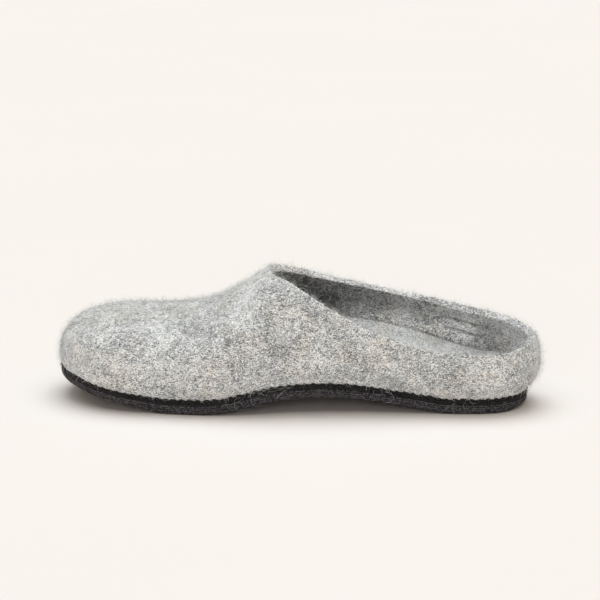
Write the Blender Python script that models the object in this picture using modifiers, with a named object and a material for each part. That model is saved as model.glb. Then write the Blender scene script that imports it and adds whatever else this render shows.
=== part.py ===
"""A left felt slipper: an open-backed mule felted in one piece, on a thin sewn sole.

Metres, +Z up. The toe points to -X, the outer (little toe) side to -Y and the
inner (arch) side to +Y. The origin is on the floor, under the middle of the shoe.

Every shape is a skin over ribs. A rib is a line in one upright plane, from the
middle of the shoe out to its edge. Between the toe centre and the heel centre
the ribs stand square to the length, and round the toe and the heel they fan out.
"""

import functools
import math
from collections import namedtuple

import bmesh
import bpy
import numpy as np
from mathutils import Vector

# Felt body
SHOE_LENGTH = 0.260  # over the felt, toe to heel
BALL_WIDTH = 0.098  # over the felt, at the joints of the toes
HEEL_WIDTH = 0.071
TOE_HEIGHT = 0.0470  # floor to the top of the toe box
INSTEP_HEIGHT = 0.0705  # floor to the felt at the throat, its highest point
HEEL_HEIGHT = 0.0375  # floor to the rim at the back
FELT_WALL = 0.0045
THROAT_AT = 0.440  # where the collar starts, as a share of the length from the toe
TOE_CENTRE_AT = 0.185  # where the ribs start to fan out round the toe
HEEL_CENTRE_AT = 0.862  # and round the heel

# Sole
OUTSOLE_THICKNESS = 0.0051
MIDSOLE_THICKNESS = 0.0019
TOE_SPRING = 0.0085  # how far the sole's top rises at the toe
ARCH_LIFT = 0.0083  # how far the waist stands over the line from ball to heel
SOLE_TUCK = 0.0080  # how far the heel of the felt overhangs the sole
SOLE_LIP = 0.0008  # how far the sole shows beyond the foot of the felt
EDGE_ROUND = 0.0016  # rounding of the outsole's lower edge
EDGE_BULGE = 0.0004  # how far the outsole's edge swells between its corners

# Insole
INSOLE_THICKNESS = 0.0035
HEEL_CUP = 0.0050  # rise of the insole's edge round the heel
ARCH_SUPPORT = 0.0120  # rise of its inner edge at the arch

# Fit
SEAT_GAP = 0.0003  # between two pieces that lie on each other
INSOLE_PLAY = 0.0012  # between the insole's edge and the felt beside it

# Fineness of the skins
TOE_RIBS = 11
VAMP_RIBS = 11
COLLAR_RIBS = 17
THROAT_CROWDING = 1.7  # a power that sets the collar's ribs closer towards its round front
HEEL_RIBS = 9
WALL_STEPS = 12
FLOOR_STEPS = 4
INSOLE_STEPS = 5
CORNER_STEPS = 2
FINE_STEPS = 60
WELD = 1e-6

LATERAL, MEDIAL = -1, 1

# The tables give shares. "at" is the place along the length, 0 at the toe and 1 at the heel.

# The felt's widest line seen from above, as shares of the width there, which
# goes from the ball's to the heel's as "heel" goes from 0 to 1. "level" is how
# high that line runs, from the felt's foot to its crown. "full" is the power of
# the section's rounded arch: 2 is an ellipse, more is boxier.
Outline = namedtuple("Outline", "at lateral medial heel level full")
OUTLINE = (
    Outline(0.00, 0.512, 0.372, 0.00, 0.12, 2.90),
    Outline(0.10, 0.520, 0.382, 0.00, 0.17, 2.90),
    Outline(0.20, 0.540, 0.403, 0.00, 0.24, 2.60),
    Outline(0.30, 0.562, 0.428, 0.02, 0.27, 2.25),
    Outline(0.40, 0.564, 0.412, 0.20, 0.26, 2.00),
    Outline(0.50, 0.550, 0.395, 0.55, 0.20, 1.95),
    Outline(0.60, 0.546, 0.415, 0.85, 0.17, 2.00),
    Outline(0.70, 0.535, 0.458, 1.00, 0.20, 2.00),
    Outline(0.80, 0.515, 0.490, 1.02, 0.27, 2.00),
    Outline(0.90, 0.500, 0.500, 1.00, 0.34, 2.00),
    Outline(1.00, 0.500, 0.500, 1.00, 0.36, 2.00),
)
TOE_ROUND = {LATERAL: 2.05, MEDIAL: 2.35}  # power of the toe's outline
HEEL_ROUND = {LATERAL: 2.15, MEDIAL: 2.15}

# The crown line over the instep, on the inner side of the middle: its offset as
# a share of the ball width, and its height from the toe box (0) to the throat (1).
# Here "at" is 0 at the toe and 1 at the throat. Behind the throat the line is the
# arch that the walls would close to.
Crown = namedtuple("Crown", "at offset height")
CROWN = (
    Crown(0.00, 0.086, 0.00),
    Crown(0.43, 0.080, 0.00),
    Crown(0.57, 0.074, 0.05),
    Crown(0.68, 0.068, 0.14),
    Crown(0.77, 0.062, 0.315),
    Crown(0.86, 0.056, 0.565),
    Crown(0.93, 0.052, 0.78),
    Crown(1.00, 0.048, 1.00),
    Crown(1.14, 0.040, 1.26),
    Crown(1.32, 0.030, 1.41),
    Crown(1.50, 0.020, 1.34),
    Crown(1.75, 0.007, 0.91),
    Crown(1.95, 0.000, 0.39),
    Crown(2.27, 0.000, 0.39),
)

# The collar's height, from the rim at the back (0) to the throat (1). The outer
# side is cut lower than the inner side, clear of the ankle. Here "at" is 0 at the
# throat and 1 at the back.
Rim = namedtuple("Rim", "at lateral medial")
RIM = (
    Rim(0.00, 1.00, 1.00),
    Rim(0.06, 0.955, 0.942),
    Rim(0.12, 0.865, 0.864),
    Rim(0.19, 0.69, 0.782),
    Rim(0.28, 0.47, 0.68),
    Rim(0.36, 0.29, 0.61),
    Rim(0.46, 0.115, 0.52),
    Rim(0.59, -0.06, 0.41),
    Rim(0.73, -0.135, 0.28),
    Rim(0.86, -0.135, 0.165),
    Rim(0.93, -0.09, 0.095),
    Rim(1.00, 0.00, 0.00),
)

# The sole's top line, as shares of the toe spring and of the arch lift, and the
# depth of both its layers as a share of their full thickness.
SoleLine = namedtuple("SoleLine", "at spring arch depth")
SOLE_LINE = (
    SoleLine(0.000, 1.00, 0.00, 0.40),
    SoleLine(0.045, 0.92, 0.00, 0.72),
    SoleLine(0.090, 0.62, 0.00, 0.74),
    SoleLine(0.140, 0.37, 0.00, 0.75),
    SoleLine(0.190, 0.17, 0.00, 0.85),
    SoleLine(0.235, 0.04, 0.00, 0.99),
    SoleLine(0.255, 0.00, 0.00, 1.00),
    SoleLine(0.315, 0.00, 0.00, 1.00),
    SoleLine(0.350, 0.00, 0.08, 1.00),
    SoleLine(0.385, 0.00, 0.28, 1.00),
    SoleLine(0.420, 0.00, 0.52, 1.00),
    SoleLine(0.460, 0.00, 0.78, 1.00),
    SoleLine(0.510, 0.00, 0.96, 1.00),
    SoleLine(0.565, 0.00, 1.00, 1.00),
    SoleLine(0.620, 0.00, 0.91, 1.00),
    SoleLine(0.670, 0.00, 0.71, 1.00),
    SoleLine(0.730, 0.00, 0.41, 1.00),
    SoleLine(0.780, 0.00, 0.16, 1.00),
    SoleLine(0.820, 0.00, 0.00, 1.00),
    SoleLine(0.925, 0.00, 0.00, 1.00),
    SoleLine(0.965, 0.00, 0.00, 0.72),
    SoleLine(1.000, 0.00, 0.00, 0.50),
)

# How far the sole is tucked in under the felt, as a share of SOLE_TUCK.
Tuck = namedtuple("Tuck", "at share")
TUCK = (
    Tuck(0.00, 0.19),
    Tuck(0.12, 0.38),
    Tuck(0.30, 0.55),
    Tuck(0.55, 0.62),
    Tuck(0.80, 0.80),
    Tuck(1.00, 1.00),
)
TUCK_POWER = 2.2  # the felt's side hangs straight, then turns in at its foot

# How the insole's edge rises inside, as shares of the heel cup and the arch support.
Cup = namedtuple("Cup", "at lateral medial arch")
CUP = (
    Cup(0.00, 0.00, 0.00, 0.00),
    Cup(0.30, 0.10, 0.10, 0.00),
    Cup(0.45, 0.45, 0.40, 0.55),
    Cup(0.58, 0.70, 0.60, 1.00),
    Cup(0.72, 0.90, 0.90, 0.78),
    Cup(0.80, 0.98, 0.98, 0.45),
    Cup(0.90, 1.00, 1.00, 0.00),
    Cup(1.00, 1.00, 1.00, 0.00),
)
CUP_POWER = 2.4

FAIR_TABLES = (OUTLINE, CROWN, RIM)

# A point of a sole layer's side: how far out, and how far down as a share of the layer.
Edge = namedtuple("Edge", "out down")

FELT_COLOUR = (0.50, 0.50, 0.48, 1.0)
INSOLE_COLOUR = (0.44, 0.45, 0.45, 1.0)
MIDSOLE_COLOUR = (0.012, 0.012, 0.013, 1.0)
OUTSOLE_COLOUR = (0.045, 0.043, 0.046, 1.0)


def level_tangents(places, values):
    """Slopes at the rows for a curve that keeps flat stretches flat and never overshoots."""
    slopes = [(b - a) / (q - p) for a, b, p, q in zip(values, values[1:], places, places[1:])]
    tangents = [slopes[0]]
    for before, after in zip(slopes, slopes[1:]):
        same_way = before * after > 0
        tangents.append(2 * before * after / (before + after) if same_way else 0.0)
    return tangents + [slopes[-1]]


def fair_tangents(places, values):
    """Slopes at the rows for a curve that bends as evenly as a batten."""
    size = len(places)
    rows, sides = np.zeros((size, size)), np.zeros(size)
    for k in range(size):
        for a, b in ((k - 1, k), (k, k + 1)):
            if a >= 0 and b < size:
                width = places[b] - places[a]
                rows[k, a] += (2 if a == k else 1) / width
                rows[k, b] += (2 if b == k else 1) / width
                sides[k] += 3 * (values[b] - values[a]) / width**2
    return list(np.linalg.solve(rows, sides))


@functools.lru_cache(maxsize=None)
def column_curve(table, column):
    places = [row.at for row in table]
    values = [getattr(row, column) for row in table]
    bend = fair_tangents if table in FAIR_TABLES else level_tangents
    return places, values, bend(places, values)


@functools.lru_cache(maxsize=None)
def smooth(table, column, at):
    """A column's value at a place, on a smooth curve through the table's rows."""
    places, values, tangents = column_curve(table, column)
    at = min(max(at, places[0]), places[-1])
    i = max(k for k, place in enumerate(places[:-1]) if place <= at)
    width = places[i + 1] - places[i]
    t = (at - places[i]) / width
    start = values[i] * (1 + 2 * t) * (1 - t) ** 2 + width * tangents[i] * t * (1 - t) ** 2
    end = values[i + 1] * t * t * (3 - 2 * t) + width * tangents[i + 1] * t * t * (t - 1)
    return start + end


def x_at(at):
    return (at - 0.5) * SHOE_LENGTH


def at_x(x):
    return x / SHOE_LENGTH + 0.5


def crown_height(at):
    share = smooth(CROWN, "height", at / THROAT_AT)
    return TOE_HEIGHT + share * (INSTEP_HEIGHT - TOE_HEIGHT)


def rim_height(side, at):
    collar_at = (at - THROAT_AT) / (1 - THROAT_AT)
    share = smooth(RIM, "lateral" if side == LATERAL else "medial", collar_at)
    return HEEL_HEIGHT + share * (INSTEP_HEIGHT - HEEL_HEIGHT)


def midsole_top(at):
    rest = OUTSOLE_THICKNESS + SEAT_GAP + MIDSOLE_THICKNESS
    return rest + TOE_SPRING * smooth(SOLE_LINE, "spring", at) + ARCH_LIFT * smooth(SOLE_LINE, "arch", at)


def midsole_foot(at):
    return midsole_top(at) - MIDSOLE_THICKNESS * smooth(SOLE_LINE, "depth", at)


def outsole_top(at):
    return midsole_foot(at) - SEAT_GAP


def tread(at):
    return outsole_top(at) - OUTSOLE_THICKNESS * smooth(SOLE_LINE, "depth", at)


def felt_foot(at):
    return midsole_top(at) + SEAT_GAP


def insole_foot(at):
    return felt_foot(at) + FELT_WALL + SEAT_GAP


class Rib:
    """One upright plane from the crown line out to the felt's widest line."""

    def __init__(self, side, at, cap):
        self.side = side
        self.at = at
        self.seat_at = min(max(at, TOE_CENTRE_AT), HEEL_CENTRE_AT)
        width = BALL_WIDTH + (HEEL_WIDTH - BALL_WIDTH) * smooth(OUTLINE, "heel", at)
        share = smooth(OUTLINE, "lateral" if side == LATERAL else "medial", at)
        middle = smooth(CROWN, "offset", self.seat_at / THROAT_AT) * BALL_WIDTH
        self.seat = Vector((x_at(self.seat_at), middle, 0))
        edge = Vector((x_at(at), middle + side * share * width * cap, 0))
        self.reach = (edge - self.seat).length
        self.way = (edge - self.seat) / self.reach
        self.foot_reach = self.reach - SOLE_TUCK * smooth(TUCK, "share", at)

    def place(self, reach, height):
        point = self.seat + self.way * reach
        return Vector((point.x, point.y, height))

    def share_at(self, reach):
        return at_x(self.seat.x + self.way.x * reach)

    def side_line(self):
        """(reach, height) along the felt's outer side, from its foot up to the crown or the rim."""
        foot = felt_foot(self.share_at(self.foot_reach))
        crown = crown_height(self.seat_at)
        level = foot + smooth(OUTLINE, "level", self.at) * (crown - foot)
        power = 2 / smooth(OUTLINE, "full", self.at)
        tuck = self.reach - self.foot_reach
        low = []
        for step in range(FINE_STEPS):
            drop = 1 - step / FINE_STEPS
            low.append((self.reach - tuck * drop**TUCK_POWER, level - (level - foot) * drop))
        last = math.pi / 2
        if self.seat_at > THROAT_AT:
            share = (rim_height(self.side, self.at) - level) / (crown - level)
            last = math.asin(min(1.0, max(0.0, share)) ** (1 / power))
        high = []
        for step in range(FINE_STEPS + 1):
            angle = last * (step / FINE_STEPS) ** (1 / power)
            out = max(0.0, math.cos(angle)) ** power
            high.append((self.reach * out, level + (crown - level) * math.sin(angle) ** power))
        return low + high

    def inner_reach(self, height):
        """Reach of the felt's inner face at a height, one wall inside the outer side."""
        near = [(reach, height - z) for reach, z in self.side_line() if abs(height - z) < FELT_WALL]
        return min(reach - math.sqrt(FELT_WALL**2 - rise**2) for reach, rise in near)

    def wall(self):
        return [self.place(*point) for point in even_steps(self.side_line(), WALL_STEPS)]


def even_steps(line, count):
    """The points that cut a line of (reach, height) into steps of one length."""
    runs = [0.0]
    for a, b in zip(line, line[1:]):
        runs.append(runs[-1] + math.dist(a, b))
    points, k = [], 0
    for step in range(count + 1):
        run = runs[-1] * step / count
        while k < len(line) - 2 and runs[k + 1] < run:
            k += 1
        t = (run - runs[k]) / max(runs[k + 1] - runs[k], WELD)
        points.append(tuple(a + (b - a) * min(t, 1.0) for a, b in zip(line[k], line[k + 1])))
    return points


def rib_places():
    """(at, cap) of each rib on one side, toe to heel. Cap narrows the round ends."""
    toe, heel = [], []
    for step in range(TOE_RIBS):
        angle = math.pi / 2 * step / TOE_RIBS
        toe.append((TOE_CENTRE_AT * (1 - math.cos(angle)), math.cos(angle)))
    middle = [TOE_CENTRE_AT + (THROAT_AT - TOE_CENTRE_AT) * step / VAMP_RIBS for step in range(VAMP_RIBS)]
    for step in range(COLLAR_RIBS):
        share = (step / COLLAR_RIBS) ** THROAT_CROWDING
        middle.append(THROAT_AT + (HEEL_CENTRE_AT - THROAT_AT) * share)
    for step in range(HEEL_RIBS + 1):
        angle = math.pi / 2 * step / HEEL_RIBS
        heel.append((HEEL_CENTRE_AT + (1 - HEEL_CENTRE_AT) * math.sin(angle), math.sin(angle)))
    return toe, middle, heel


def cap_width(share, power):
    return max(0.0, 1 - share**power) ** (1 / power)


def make_ribs():
    """The ribs round the shoe: down the outer side from the toe, back up the inner side."""
    toe, middle, heel = rib_places()
    sides = {}
    for side in (LATERAL, MEDIAL):
        ribs = [Rib(side, at, cap_width(cap, TOE_ROUND[side])) for at, cap in toe]
        ribs += [Rib(side, at, 1.0) for at in middle]
        ribs += [Rib(side, at, cap_width(cap, HEEL_ROUND[side])) for at, cap in heel]
        sides[side] = ribs
    return sides[LATERAL] + sides[MEDIAL][-2:0:-1]


def skin(name, lines, material):
    """A mesh object stretched over a closed ring of lines with as many points each."""
    shape = bmesh.new()
    rows = [[shape.verts.new(point) for point in line] for line in lines]
    for line, following in zip(rows, rows[1:] + rows[:1]):
        for a, b, c, d in zip(line, following, following[1:], line[1:]):
            shape.faces.new((a, b, c, d))
    bmesh.ops.remove_doubles(shape, verts=shape.verts, dist=WELD)
    bmesh.ops.triangulate(shape, faces=shape.faces, quad_method="SHORT_EDGE")
    mesh = bpy.data.meshes.new(name)
    shape.to_mesh(mesh)
    shape.free()
    mesh.materials.append(material)
    mesh.shade_smooth()
    piece = bpy.data.objects.new(name, mesh)
    bpy.data.collections["felt_slipper"].objects.link(piece)
    return piece


def floor_line(rib, reach, height, steps):
    """Points from the middle of the shoe out to a reach, at a height that follows the length."""
    return [rib.place(reach * k / steps, height(rib.share_at(reach * k / steps))) for k in range(steps)]


def make_upper(ribs, material):
    """The felt body, felted whole: floor, sides and vamp, open at the collar."""
    lines = [floor_line(rib, rib.foot_reach, felt_foot, FLOOR_STEPS) + rib.wall() for rib in ribs]
    upper = skin("upper", lines, material)
    wall = upper.modifiers.new("felt", "SOLIDIFY")
    wall.thickness = FELT_WALL
    wall.offset = -1
    wall.use_even_offset = True
    wall.use_quality_normals = True
    return upper


def layer(name, ribs, top, bottom, edges, material):
    """A flat piece of the sole between two heights, with the side that its edges give."""
    lines = []
    for rib in ribs:
        reach = rib.foot_reach + SOLE_LIP
        high = floor_line(rib, reach + edges[0].out, top, FLOOR_STEPS)
        low = floor_line(rib, reach + edges[-1].out, bottom, FLOOR_STEPS)
        side = []
        for edge in edges:
            at = rib.share_at(reach + edge.out)
            side.append(rib.place(reach + edge.out, top(at) + (bottom(at) - top(at)) * edge.down))
        lines.append(low + side[::-1] + high[::-1])
    return skin(name, lines, material)


def make_midsole(ribs, material):
    """The thin black felt that the body is sewn to."""
    edges = [Edge(0.0, 0.0), Edge(EDGE_BULGE / 2, 0.5), Edge(0.0, 1.0)]
    return layer("midsole", ribs, midsole_top, midsole_foot, edges, material)


def make_outsole(ribs, material):
    """The rubber tread sole, with a swollen edge and a rounded lower corner."""
    corner = EDGE_ROUND / OUTSOLE_THICKNESS
    edges = [Edge(0.0, 0.0), Edge(EDGE_BULGE, corner)]
    for step in range(CORNER_STEPS + 1):
        angle = math.pi / 2 * step / CORNER_STEPS
        out = EDGE_BULGE - EDGE_ROUND * (1 - math.cos(angle))
        edges.append(Edge(out, 1 - corner * (1 - math.sin(angle))))
    return layer("outsole", ribs, outsole_top, tread, edges, material)


def insole_rise(rib, share):
    """How far the insole's upper face turns up at a share of the way to its edge."""
    edge = HEEL_CUP * smooth(CUP, "lateral" if rib.side == LATERAL else "medial", rib.at)
    if rib.side == MEDIAL:
        edge += ARCH_SUPPORT * smooth(CUP, "arch", rib.at)
    return edge * share**CUP_POWER


def make_insole(ribs, material):
    """The loose felt insole, dished at the heel and raised under the arch."""
    lines = []
    for rib in ribs:
        foot = insole_foot(rib.share_at(rib.foot_reach))
        edge = foot + INSOLE_THICKNESS + insole_rise(rib, 1.0)
        low_reach = rib.inner_reach(foot) - INSOLE_PLAY
        high_reach = rib.inner_reach(edge) - INSOLE_PLAY
        low, high = [], []
        for step in range(INSOLE_STEPS + 1):
            share = step / INSOLE_STEPS
            reach = low_reach * share
            low.append(rib.place(reach, insole_foot(rib.share_at(reach))))
            reach = high_reach * share
            rise = INSOLE_THICKNESS + insole_rise(rib, share)
            high.append(rib.place(reach, insole_foot(rib.share_at(reach)) + rise))
        lines.append(low + high[::-1])
    return skin("insole", lines, material)


def finish(name, colour, roughness):
    """A plain matt material: wool felt, dyed felt or rubber."""
    material = bpy.data.materials.new(name)
    material.use_nodes = True
    shader = material.node_tree.nodes["Principled BSDF"]
    shader.inputs["Base Color"].default_value = colour
    shader.inputs["Roughness"].default_value = roughness
    shader.inputs["Metallic"].default_value = 0.0
    return material


def main():
    for item in list(bpy.data.objects):
        bpy.data.objects.remove(item)
    group = bpy.data.collections.new("felt_slipper")
    bpy.context.scene.collection.children.link(group)
    ribs = make_ribs()
    make_outsole(ribs, finish("sole_rubber", OUTSOLE_COLOUR, 0.75))
    make_midsole(ribs, finish("black_felt", MIDSOLE_COLOUR, 0.95))
    make_upper(ribs, finish("wool_felt", FELT_COLOUR, 0.95))
    make_insole(ribs, finish("insole_felt", INSOLE_COLOUR, 0.95))


main()
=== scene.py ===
"""A left felt slipper as a maker builds it: felted body, black edge band, stitches,
rubber sole, insole, and the wool nap that shows on all of them.

Metres, +Z up, toe to -X, outer side to -Y. The form follows the same sections as
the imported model, drawn finer.
"""

import math
import random
from collections import namedtuple
from functools import lru_cache

import bmesh
import bpy
import numpy as np
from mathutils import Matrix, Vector, noise


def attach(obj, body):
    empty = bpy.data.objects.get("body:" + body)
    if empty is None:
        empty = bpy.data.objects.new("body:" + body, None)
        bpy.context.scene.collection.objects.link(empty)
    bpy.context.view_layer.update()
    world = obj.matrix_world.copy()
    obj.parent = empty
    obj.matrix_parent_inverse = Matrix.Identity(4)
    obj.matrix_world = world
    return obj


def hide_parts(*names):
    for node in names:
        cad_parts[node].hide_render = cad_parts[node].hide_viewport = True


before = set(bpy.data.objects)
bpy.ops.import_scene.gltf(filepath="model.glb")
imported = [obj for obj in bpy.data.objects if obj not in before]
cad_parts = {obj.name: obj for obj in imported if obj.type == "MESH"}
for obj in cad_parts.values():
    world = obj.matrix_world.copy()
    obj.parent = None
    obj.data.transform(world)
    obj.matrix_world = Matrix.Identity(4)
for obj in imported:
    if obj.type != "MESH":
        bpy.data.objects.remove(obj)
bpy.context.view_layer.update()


# The felt body
# Light grey heather wool, wet felted over a last in one seamless piece about 4.5 mm
# thick. Its collar is cut with a knife after felting, so the rim is square but soft.

SHOE_LENGTH = 0.260
BALL_WIDTH = 0.098
HEEL_WIDTH = 0.071
TOE_HEIGHT = 0.0470
INSTEP_HEIGHT = 0.0705
HEEL_HEIGHT = 0.0375
FELT_WALL = 0.0045
THROAT_AT = 0.440
TOE_CENTRE_AT = 0.185
HEEL_CENTRE_AT = 0.862
OUTSOLE_THICKNESS = 0.0051
MIDSOLE_THICKNESS = 0.0019
TOE_SPRING = 0.0085
ARCH_LIFT = 0.0083
SOLE_TUCK = 0.0080
SEAT_GAP = 0.0003
TUCK_POWER = 2.2
LATERAL, MEDIAL = -1, 1

# Shares of the width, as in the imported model: "at" is 0 at the toe and 1 at the heel.
Outline = namedtuple("Outline", "at lateral medial heel level full")
OUTLINE = (
    Outline(0.00, 0.512, 0.372, 0.00, 0.12, 2.90),
    Outline(0.10, 0.520, 0.382, 0.00, 0.17, 2.90),
    Outline(0.20, 0.540, 0.403, 0.00, 0.24, 2.60),
    Outline(0.30, 0.562, 0.428, 0.02, 0.27, 2.25),
    Outline(0.40, 0.564, 0.412, 0.20, 0.26, 2.00),
    Outline(0.50, 0.550, 0.395, 0.55, 0.20, 1.95),
    Outline(0.60, 0.546, 0.415, 0.85, 0.17, 2.00),
    Outline(0.70, 0.535, 0.458, 1.00, 0.20, 2.00),
    Outline(0.80, 0.515, 0.490, 1.02, 0.27, 2.00),
    Outline(0.90, 0.500, 0.500, 1.00, 0.34, 2.00),
    Outline(1.00, 0.500, 0.500, 1.00, 0.36, 2.00),
)
TOE_ROUND = {LATERAL: 2.05, MEDIAL: 2.35}
HEEL_ROUND = {LATERAL: 2.15, MEDIAL: 2.15}

# The crown line, with "at" 0 at the toe and 1 at the throat.
Crown = namedtuple("Crown", "at offset height")
CROWN = (
    Crown(0.00, 0.086, 0.00),
    Crown(0.43, 0.080, 0.00),
    Crown(0.57, 0.074, 0.05),
    Crown(0.68, 0.068, 0.14),
    Crown(0.77, 0.062, 0.315),
    Crown(0.86, 0.056, 0.565),
    Crown(0.93, 0.052, 0.78),
    Crown(1.00, 0.048, 1.00),
    Crown(1.14, 0.040, 1.26),
    Crown(1.32, 0.030, 1.41),
    Crown(1.50, 0.020, 1.34),
    Crown(1.75, 0.007, 0.91),
    Crown(1.95, 0.000, 0.39),
    Crown(2.27, 0.000, 0.39),
)

# The collar's height, with "at" 0 at the throat and 1 at the back.
Rim = namedtuple("Rim", "at lateral medial")
RIM = (
    Rim(0.00, 1.00, 1.00),
    Rim(0.06, 0.955, 0.942),
    Rim(0.12, 0.865, 0.864),
    Rim(0.19, 0.69, 0.782),
    Rim(0.28, 0.47, 0.68),
    Rim(0.36, 0.29, 0.61),
    Rim(0.46, 0.115, 0.52),
    Rim(0.59, -0.06, 0.41),
    Rim(0.73, -0.135, 0.28),
    Rim(0.86, -0.135, 0.165),
    Rim(0.93, -0.09, 0.095),
    Rim(1.00, 0.00, 0.00),
)

# The sole: shares of the toe spring, of the lift under the arch and of its thickness.
SoleLine = namedtuple("SoleLine", "at spring arch depth")
SOLE_LINE = (
    SoleLine(0.000, 1.00, 0.00, 0.40),
    SoleLine(0.045, 0.92, 0.00, 0.72),
    SoleLine(0.090, 0.62, 0.00, 0.74),
    SoleLine(0.140, 0.37, 0.00, 0.75),
    SoleLine(0.190, 0.17, 0.00, 0.85),
    SoleLine(0.235, 0.04, 0.00, 0.99),
    SoleLine(0.255, 0.00, 0.00, 1.00),
    SoleLine(0.315, 0.00, 0.00, 1.00),
    SoleLine(0.350, 0.00, 0.08, 1.00),
    SoleLine(0.385, 0.00, 0.28, 1.00),
    SoleLine(0.420, 0.00, 0.52, 1.00),
    SoleLine(0.460, 0.00, 0.78, 1.00),
    SoleLine(0.510, 0.00, 0.96, 1.00),
    SoleLine(0.565, 0.00, 1.00, 1.00),
    SoleLine(0.620, 0.00, 0.91, 1.00),
    SoleLine(0.670, 0.00, 0.71, 1.00),
    SoleLine(0.730, 0.00, 0.41, 1.00),
    SoleLine(0.780, 0.00, 0.16, 1.00),
    SoleLine(0.820, 0.00, 0.00, 1.00),
    SoleLine(0.925, 0.00, 0.00, 1.00),
    SoleLine(0.965, 0.00, 0.00, 0.72),
    SoleLine(1.000, 0.00, 0.00, 0.50),
)

# How far the felt's foot is drawn in under its widest line, as a share of the tuck.
Tuck = namedtuple("Tuck", "at share")
TUCK = (
    Tuck(0.00, 0.19),
    Tuck(0.12, 0.38),
    Tuck(0.30, 0.55),
    Tuck(0.55, 0.62),
    Tuck(0.80, 0.80),
    Tuck(1.00, 1.00),
)
FAIR_TABLES = (OUTLINE, CROWN, RIM)  # drawn as a batten bends

# Fineness of the felt's mesh: about 1.3 mm between points.
TOE_RIBS = 42
VAMP_RIBS = 42
COLLAR_RIBS = 76
HEEL_RIBS = 38
THROAT_CROWDING = 1.35
WALL_STEPS = 62
FLOOR_STEPS = 6
FINE_STEPS = 120
RIM_CUTS = 3
WELD = 1e-6


def level_tangents(places, values):
    """Slopes for a curve that keeps flat stretches flat."""
    slopes = [(b - a) / (q - p) for a, b, p, q in zip(values, values[1:], places, places[1:])]
    tangents = [slopes[0]]
    for before, after in zip(slopes, slopes[1:]):
        same_way = before * after > 0
        tangents.append(2 * before * after / (before + after) if same_way else 0.0)
    return tangents + [slopes[-1]]


def fair_tangents(places, values):
    """Slopes for a curve that bends as evenly as a batten."""
    size = len(places)
    rows, sides = np.zeros((size, size)), np.zeros(size)
    for k in range(size):
        for a, b in ((k - 1, k), (k, k + 1)):
            if a >= 0 and b < size:
                width = places[b] - places[a]
                rows[k, a] += (2 if a == k else 1) / width
                rows[k, b] += (2 if b == k else 1) / width
                sides[k] += 3 * (values[b] - values[a]) / width**2
    return list(np.linalg.solve(rows, sides))


@lru_cache(maxsize=None)
def column_curve(table, column):
    places = [row.at for row in table]
    values = [getattr(row, column) for row in table]
    bend = fair_tangents if table in FAIR_TABLES else level_tangents
    return places, values, bend(places, values)


@lru_cache(maxsize=None)
def smooth(table, column, at):
    """A column's value at a place, on a smooth curve through the table's rows."""
    places, values, tangents = column_curve(table, column)
    at = min(max(at, places[0]), places[-1])
    i = max(k for k, place in enumerate(places[:-1]) if place <= at)
    width = places[i + 1] - places[i]
    t = (at - places[i]) / width
    start = values[i] * (1 + 2 * t) * (1 - t) ** 2 + width * tangents[i] * t * (1 - t) ** 2
    end = values[i + 1] * t * t * (3 - 2 * t) + width * tangents[i + 1] * t * t * (t - 1)
    return start + end


def x_at(at):
    return (at - 0.5) * SHOE_LENGTH


def at_x(x):
    return x / SHOE_LENGTH + 0.5


def crown_height(at):
    return TOE_HEIGHT + smooth(CROWN, "height", at / THROAT_AT) * (INSTEP_HEIGHT - TOE_HEIGHT)


def rim_height(side, at):
    collar_at = (at - THROAT_AT) / (1 - THROAT_AT)
    share = smooth(RIM, "lateral" if side == LATERAL else "medial", collar_at)
    return HEEL_HEIGHT + share * (INSTEP_HEIGHT - HEEL_HEIGHT)


def midsole_top(at):
    rest = OUTSOLE_THICKNESS + SEAT_GAP + MIDSOLE_THICKNESS
    return rest + TOE_SPRING * smooth(SOLE_LINE, "spring", at) + ARCH_LIFT * smooth(SOLE_LINE, "arch", at)


def felt_foot(at):
    return midsole_top(at) + SEAT_GAP


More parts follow.
